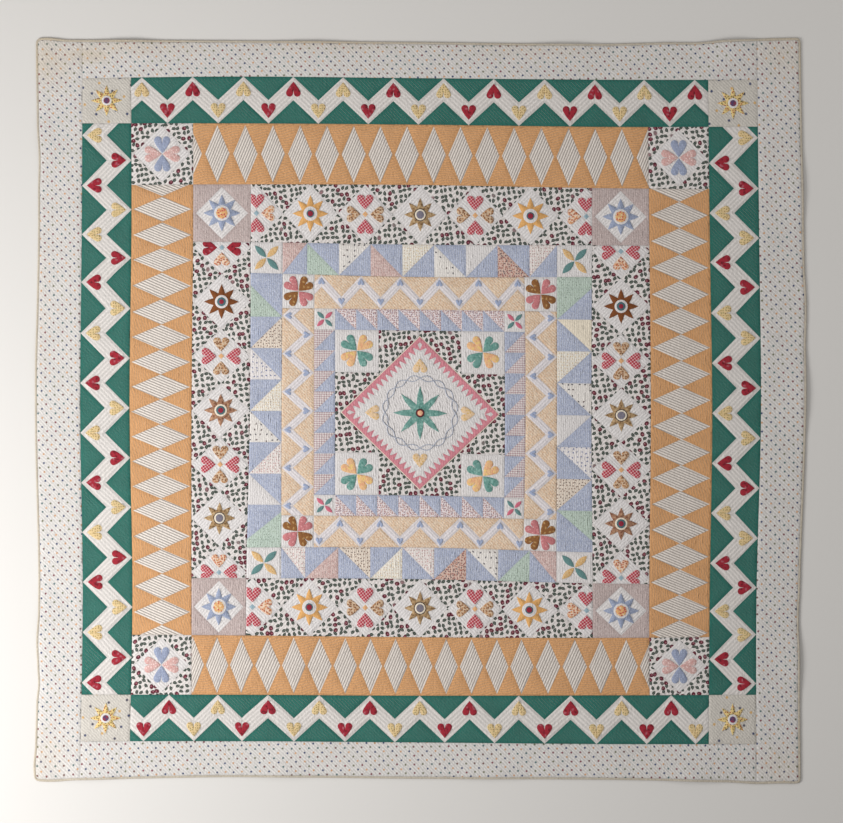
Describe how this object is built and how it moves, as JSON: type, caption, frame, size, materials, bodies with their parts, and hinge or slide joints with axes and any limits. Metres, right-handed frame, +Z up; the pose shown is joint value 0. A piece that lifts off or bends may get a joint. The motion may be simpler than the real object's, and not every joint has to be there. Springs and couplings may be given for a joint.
{
  "type": "sampler quilt",
  "caption": "Patchwork and applique sampler quilt laid flat: a medallion centre inside square borders with corner blocks, hand quilted and bound.",
  "frame": {"origin": "middle of the quilt's bounding box, on the surface it lies on", "axes": "+Z up out of the quilt's face, +Y towards its head, which is the top of the picture, and +X to the right across its width"},
  "size_m": [2.3948, 2.3127, 0.0104],
  "materials": {
    "binding_cotton": "plain woven cotton, folded",
    "dotted_cotton": "white cotton with a small dotted print, quilted",
    "green_patchwork": "green and white cotton, quilted",
    "orange_patchwork": "orange and striped white cotton, quilted",
    "berry_patchwork": "white cotton with a berry and leaf print, quilted",
    "lilac_patchwork": "lilac cotton, quilted",
    "blue_patchwork": "blue cotton and small prints, quilted",
    "yellow_patchwork": "pale yellow cotton, quilted",
    "white_cotton": "plain white cotton, quilted",
    "medallion_cotton": "white cotton with applique and embroidery, quilted"
  },
  "bodies": {
    "root": {"binding_top": "binding_cotton", "binding_bottom": "binding_cotton", "binding_left": "binding_cotton", "binding_right": "binding_cotton", "outer_top": "dotted_cotton", "outer_bottom": "dotted_cotton", "outer_left": "dotted_cotton", "outer_right": "dotted_cotton", "green_top": "green_patchwork", "green_bottom": "green_patchwork", "green_left": "green_patchwork", "green_right": "green_patchwork", "green_corner_top_left": "dotted_cotton", "green_corner_top_right": "dotted_cotton", "green_corner_bottom_left": "dotted_cotton", "green_corner_bottom_right": "dotted_cotton", "orange_top": "orange_patchwork", "orange_bottom": "orange_patchwork", "orange_left": "orange_patchwork", "orange_right": "orange_patchwork", "orange_corner_top_left": "berry_patchwork", "orange_corner_top_right": "berry_patchwork", "orange_corner_bottom_left": "berry_patchwork", "orange_corner_bottom_right": "berry_patchwork", "star_top": "berry_patchwork", "star_bottom": "berry_patchwork", "star_left": "berry_patchwork", "star_right": "berry_patchwork", "star_corner_top_left": "lilac_patchwork", "star_corner_top_right": "lilac_patchwork", "star_corner_bottom_left": "lilac_patchwork", "star_corner_bottom_right": "lilac_patchwork", "blue_top": "blue_patchwork", "blue_bottom": "blue_patchwork", "blue_left": "blue_patchwork", "blue_right": "blue_patchwork", "blue_corner_top_left": "white_cotton", "blue_corner_top_right": "white_cotton", "blue_corner_bottom_left": "white_cotton", "blue_corner_bottom_right": "white_cotton", "yellow_top": "yellow_patchwork", "yellow_bottom": "yellow_patchwork", "yellow_left": "yellow_patchwork", "yellow_right": "yellow_patchwork", "yellow_corner_top_left": "white_cotton", "yellow_corner_top_right": "white_cotton", "yellow_corner_bottom_left": "white_cotton", "yellow_corner_bottom_right": "white_cotton", "tooth_top": "blue_patchwork", "tooth_bottom": "blue_patchwork", "tooth_left": "blue_patchwork", "tooth_right": "blue_patchwork", "centre_medallion": "medallion_cotton", "centre_corner_top_left": "white_cotton", "centre_corner_top_right": "white_cotton", "centre_corner_bottom_left": "white_cotton", "centre_corner_bottom_right": "white_cotton"}
  },
  "joints": []
}
